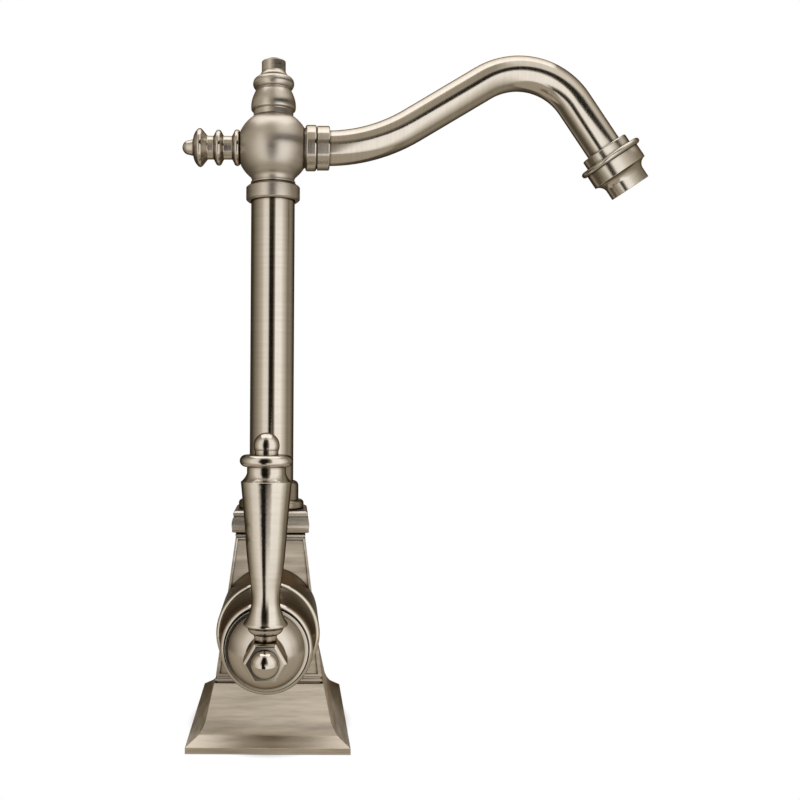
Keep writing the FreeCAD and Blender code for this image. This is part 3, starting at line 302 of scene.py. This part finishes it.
# Finishes, with the axis round which a piece is turned or brushed
ALONG_X, ALONG_Y, ALONG_Z = 0, 1, 2
BRUSHED_Z = nickel("nickel_brushed_upright", ALONG_Z, roughness=0.15, anisotropy=0.85, depth=0.6)
TURNED_Z = nickel("nickel_turned_upright", ALONG_Z, roughness=0.14)
SATIN_Z = nickel("nickel_satin_head", ALONG_Z, roughness=0.28, spread=ALONG_LINES)
TURNED_Y = nickel("nickel_turned_valve", ALONG_Y, roughness=0.15)
SKIRT = nickel("nickel_brushed_skirt", ALONG_Y, roughness=0.24, anisotropy=0.6)
TURNED_X = nickel("nickel_turned_spout_root", ALONG_X, roughness=0.18, anisotropy=0.85)
TURNED_TIP = nickel("nickel_turned_tip", ALONG_X, roughness=0.15, turn=(0, -TIP_LINES_SLOPE, 0))
CAST = nickel("nickel_cast", ALONG_Z, roughness=0.38, depth=1.5, anisotropy=0.85, spread=ALONG_LINES,
              coarse=CAST_COARSE, plate=CAST_PLATE, dark=CAST_DARK)
CAPITAL = nickel("nickel_capital", ALONG_Z, roughness=0.24, anisotropy=0.7, spread=ALONG_LINES)
BALL = nickel("nickel_ball", ALONG_Z, roughness=0.34, depth=0.6, anisotropy=0.3, spread=ALONG_LINES)
POLISHED = nickel("nickel_polished", ALONG_Y, roughness=0.08, depth=0.0, anisotropy=0.0)
SPOUT = nickel("nickel_spout", ALONG_X, roughness=0.14, depth=0.3, anisotropy=0.0)
RUBBER = plain_finish("black_rubber", (0.03, 0.03, 0.03), roughness=0.7, grain=2500.0, depth=0.00002)
BRASS = bare_metal("machined_brass", (0.72, 0.53, 0.26))
STEEL = bare_metal("drawn_steel", (0.6, 0.6, 0.6))
CERAMIC = plain_finish("lapped_ceramic", (0.85, 0.84, 0.80), roughness=0.15, grain=900.0, depth=0.000002)
PLASTIC = plain_finish("dark_plastic", (0.09, 0.09, 0.09), roughness=0.4, grain=1200.0, depth=0.00001)


def rounded(node, edge, material):
    """Puts a copy of a node, with its corners rounded off, in the node's place."""
    source = frame["nodes"][node]
    work = bmesh.new()
    work.from_mesh(source.data)
    bmesh.ops.remove_doubles(work, verts=work.verts, dist=WELD_DISTANCE)
    bmesh.ops.dissolve_limit(work, angle_limit=FLAT_ANGLE, verts=work.verts, edges=work.edges)
    corners = [line for line in work.edges if line.is_manifold and line.calc_face_angle() > SHARP_ANGLE]
    bmesh.ops.bevel(work, geom=corners, offset=edge, offset_type="OFFSET", segments=EDGE_STEPS,
                    profile=ROUND_PROFILE, affect="EDGES", clamp_overlap=True)
    for face in work.faces:
        face.smooth = True
    mesh = bpy.data.meshes.new(node + "_finished")
    work.to_mesh(mesh)
    work.free()
    mesh.materials.append(material)
    piece = bpy.data.objects.new(node + "_finished", mesh)
    bpy.context.scene.collection.objects.link(piece)
    weighted = piece.modifiers.new("face_weights", "WEIGHTED_NORMAL")
    weighted.keep_sharp = True
    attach(piece, source["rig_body"])
    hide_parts(node)


def dress(node, material):
    """Gives a node that keeps its own mesh its finish."""
    target = frame["nodes"][node]
    for slot in target.material_slots:
        slot.material = material


# Finish of each piece, first those that are shown with rounded corners
ROUNDED = (
    (CAST, CAST_EDGE, ("foot", "pedestal")),
    (CAPITAL, CAST_EDGE, ("capital",)),
    (BRUSHED_Z, TURNED_EDGE, ("lever",)),
    (TURNED_Z, TURNED_EDGE, ("column_socket",)),
    (SATIN_Z, TURNED_EDGE, ("swivel_collar", "top_finial")),
    (TURNED_Y, TURNED_EDGE, ("valve_drum", "bonnet", "lever_hub")),
    (SKIRT, TURNED_EDGE, ("handle_skirt",)),
    (TURNED_X, TURNED_EDGE, ("side_finial", "spout_flange", "spout_nut")),
    (TURNED_TIP, TURNED_EDGE, ("spout_tip", "aerator_shell")),
    (POLISHED, FINE_EDGE, ("button_cap",)),
    (BALL, TURNED_EDGE, ("head_ball",)),
)
KEPT = (
    (BRUSHED_Z, ("column_tube",)),
    (SPOUT, ("spout_tube",)),
    (RUBBER, ("foot_gasket", "spigot_o_rings", "spout_seal", "aerator_washer", "stem_o_ring")),
    (BRASS, ("threaded_bush", "valve_body", "cartridge_sleeve", "valve_stem", "swivel_spigot")),
    (STEEL, ("retaining_clip", "hub_screw", "lever_stud", "riser_tube")),
    (CERAMIC, ("fixed_disc", "moving_disc")),
    (PLASTIC, ("aerator_insert",)),
)


def dress_the_tap():
    for material, edge, nodes in ROUNDED:
        for node in nodes:
            rounded(node, edge, material)
    for material, nodes in KEPT:
        for node in nodes:
            dress(node, material)


def seen_in_metal_only(card):
    """Hides a studio piece from all but reflections."""
    card.visible_camera = False
    card.visible_diffuse = False
    card.visible_shadow = False
    card.visible_transmission = False


def tinted(strength):
    """Colour of a light as a share of the peak, warm where it is dim."""
    share = strength / PEAK_LIGHT
    return [share * (warm + (plain - warm) * min(1.0, share)) for warm, plain in zip(WARM_DARK, NEUTRAL)]


def by_angle(tree, turn, stops):
    """Light as a ramp round the tap."""
    ramp = tree.nodes.new("ShaderNodeValToRGB")
    elements = ramp.color_ramp.elements
    while len(elements) < len(stops):
        elements.new(1.0)
    for element, (degrees, strength) in zip(elements, stops):
        element.position = (degrees + 180) / 360
        element.color = (*tinted(strength), 1)
    tree.links.new(turn, ramp.inputs["Fac"])
    return ramp.outputs["Color"]


def by_height(tree, sine, elevations):
    """0 below the range of elevations and 1 above it."""
    return mapped(tree, sine, [math.sin(math.radians(elevation)) for elevation in elevations])


def turn_and_height(tree):
    """Where a point lies round the tap, as a share of the full turn, and the sine of its elevation."""
    place = tree.nodes.new("ShaderNodeTexCoord")
    way = add_linked(tree, "ShaderNodeVectorMath", 0, place.outputs["Object"])
    way.operation = "NORMALIZE"
    parts = add_linked(tree, "ShaderNodeSeparateXYZ", "Vector", way.outputs["Vector"]).outputs
    front = reckoned(tree, "MULTIPLY", parts["Y"], -1.0)
    angle = reckoned(tree, "ARCTAN2", parts["X"], front)
    return mapped(tree, angle, (-math.pi, math.pi)), parts["Z"]


def glow(tree, output, colour):
    """Lights a cloth in a colour given as a share of the peak light."""
    light = add(tree, "ShaderNodeEmission", Strength=PEAK_LIGHT)
    tree.links.new(colour, light.inputs["Color"])
    tree.links.new(light.outputs["Emission"], output.inputs["Surface"])


def card_cloth():
    """Ring of cards: at its foot the dark stripe towards the camera is narrower."""
    material, tree, output = shader_nodes("near_cloth")
    turn, height = turn_and_height(tree)
    foot, upper = by_angle(tree, turn, CARD_FOOT_LIGHT), by_angle(tree, turn, CARD_LIGHT)
    glow(tree, output, blend(tree, by_height(tree, height, CARD_FOOT_END), foot, upper))
    return material


def tent_cloth():
    """Tent: a wall, the gap above it and the ceiling."""
    material, tree, output = shader_nodes("tent_cloth")
    turn, height = turn_and_height(tree)
    wall, gap = by_angle(tree, turn, WALL_LIGHT), by_angle(tree, turn, GAP_LIGHT)
    lower = blend(tree, by_height(tree, height, WALL_TOP), wall, gap)
    ceiling = by_angle(tree, turn, CEILING_LIGHT)
    glow(tree, output, blend(tree, by_height(tree, height, CEILING_FOOT), lower, ceiling))
    return material


def plain_cloth(name, strength):
    """Cloth with the same light all over."""
    material, tree, output = shader_nodes(name)
    light = add(tree, "ShaderNodeEmission", Color=(*tinted(strength), 1), Strength=PEAK_LIGHT)
    tree.links.new(light.outputs["Emission"], output.inputs["Surface"])
    return material


def ring(inner, outer, low, high):
    """Corners in pairs once round the tap, from an inner circle to an outer one."""
    corners = []
    for step in range(CARD_STEPS + 1):
        angle = 2 * math.pi * step / CARD_STEPS
        across, along = math.sin(angle), -math.cos(angle)
        corners += [(across * inner, along * inner, low), (across * outer, along * outer, high)]
    return corners


def studio_card(name, material, corners):
    """Strip of four-sided faces over corners given in pairs."""
    mesh = bpy.data.meshes.new(name)
    faces = [(number, number + 1, number + 3, number + 2) for number in range(0, len(corners) - 2, 2)]
    mesh.from_pydata(corners, [], faces)
    mesh.update()
    mesh.materials.append(material)
    card = bpy.data.objects.new(name, mesh)
    bpy.context.scene.collection.objects.link(card)
    seen_in_metal_only(card)


def studio():
    """Places all that only metal sees: the tent, the softbox and the cards."""
    bpy.ops.mesh.primitive_uv_sphere_add(segments=TENT_SEGMENTS, ring_count=TENT_RINGS, radius=TENT_RADIUS,
                                         location=(0, 0, CAMERA_PLACE[2]))
    tent = bpy.context.object
    tent.name = "studio_tent"
    tent.data.materials.append(tent_cloth())
    seen_in_metal_only(tent)
    softbox = [(side * SOFTBOX_HALF_WIDTH, along, SOFTBOX_HEIGHT)
               for along in (SOFTBOX_FRONT, SOFTBOX_BACK) for side in (-1, 1)]
    studio_card("top_softbox", plain_cloth("softbox_cloth", SOFTBOX_LIGHT), softbox)
    studio_card("near_cards", card_cloth(), ring(CARD_RADIUS, CARD_RADIUS, 0, CARD_TOP))
    table = ring(0, CARD_RADIUS, TABLE_HEIGHT, TABLE_HEIGHT)
    studio_card("table_card", plain_cloth("table_cloth", TABLE_LIGHT), table)


def white_world():
    world = bpy.data.worlds.new("white_studio")
    bpy.context.scene.world = world
    world.use_nodes = True
    background = world.node_tree.nodes["Background"]
    background.inputs["Color"].default_value = (*NEUTRAL, 1)
    background.inputs["Strength"].default_value = 1.0


def floor_cloth():
    """Pale floor near the foot, where the shadow lies, which the camera and metal see as white beyond it."""
    material, tree, output = shader_nodes("pale_floor")
    diffuse = add(tree, "ShaderNodeBsdfDiffuse", Color=(FLOOR_ALBEDO, FLOOR_ALBEDO, FLOOR_ALBEDO, 1))
    white = add(tree, "ShaderNodeEmission", Color=(*NEUTRAL, 1), Strength=1.0)
    place = tree.nodes.new("ShaderNodeTexCoord")
    feet = add_linked(tree, "ShaderNodeMapping", "Vector", place.outputs["Object"],
                      Scale=(1 / FOOT_HALF_WIDTH, 1 / FOOT_HALF_DEPTH, 1))
    length = add_linked(tree, "ShaderNodeVectorMath", 0, feet.outputs["Vector"])
    length.operation = "LENGTH"
    far = add_linked(tree, "ShaderNodeMapRange", "Value", length.outputs["Value"],
                     From_Min=SHADOW_REACH[0], From_Max=SHADOW_REACH[1])
    far.interpolation_type = "SMOOTHSTEP"

    rays = tree.nodes.new("ShaderNodeLightPath")
    seen = rays.outputs["Is Camera Ray"]
    for kind in ("Is Glossy Ray", "Is Transmission Ray"):
        seen = reckoned(tree, "MAXIMUM", seen, rays.outputs[kind])
    share = reckoned(tree, "MULTIPLY", far.outputs["Result"], seen)
    mix = add_linked(tree, "ShaderNodeMixShader", "Fac", share)
    tree.links.new(diffuse.outputs["BSDF"], mix.inputs[1])
    tree.links.new(white.outputs["Emission"], mix.inputs[2])
    tree.links.new(mix.outputs["Shader"], output.inputs["Surface"])
    return material


def floor():
    mesh = bpy.data.meshes.new("floor")
    work = bmesh.new()
    bmesh.ops.create_grid(work, x_segments=1, y_segments=1, size=FLOOR_SIZE)
    work.to_mesh(mesh)
    work.free()
    mesh.materials.append(floor_cloth())
    ground = bpy.data.objects.new("floor", mesh)
    bpy.context.scene.collection.objects.link(ground)


def camera():
    data = bpy.data.cameras.new("photo_camera")
    data.sensor_width = SENSOR_WIDTH
    data.lens = FOCAL_PIXELS / IMAGE_SIZE * SENSOR_WIDTH
    data.shift_x = (IMAGE_SIZE / 2 - VANISHING_POINT[0]) / IMAGE_SIZE
    data.shift_y = (VANISHING_POINT[1] - IMAGE_SIZE / 2) / IMAGE_SIZE
    data.clip_start = CLIP_START
    view = bpy.data.objects.new("photo_camera", data)
    view.location = CAMERA_PLACE
    view.rotation_euler = (math.radians(90), CAMERA_ROLL, 0)
    bpy.context.scene.collection.objects.link(view)
    bpy.context.scene.camera = view


bpy.context.scene.view_settings.view_transform = "Standard"
dress_the_tap()
studio()
white_world()
floor()
camera()
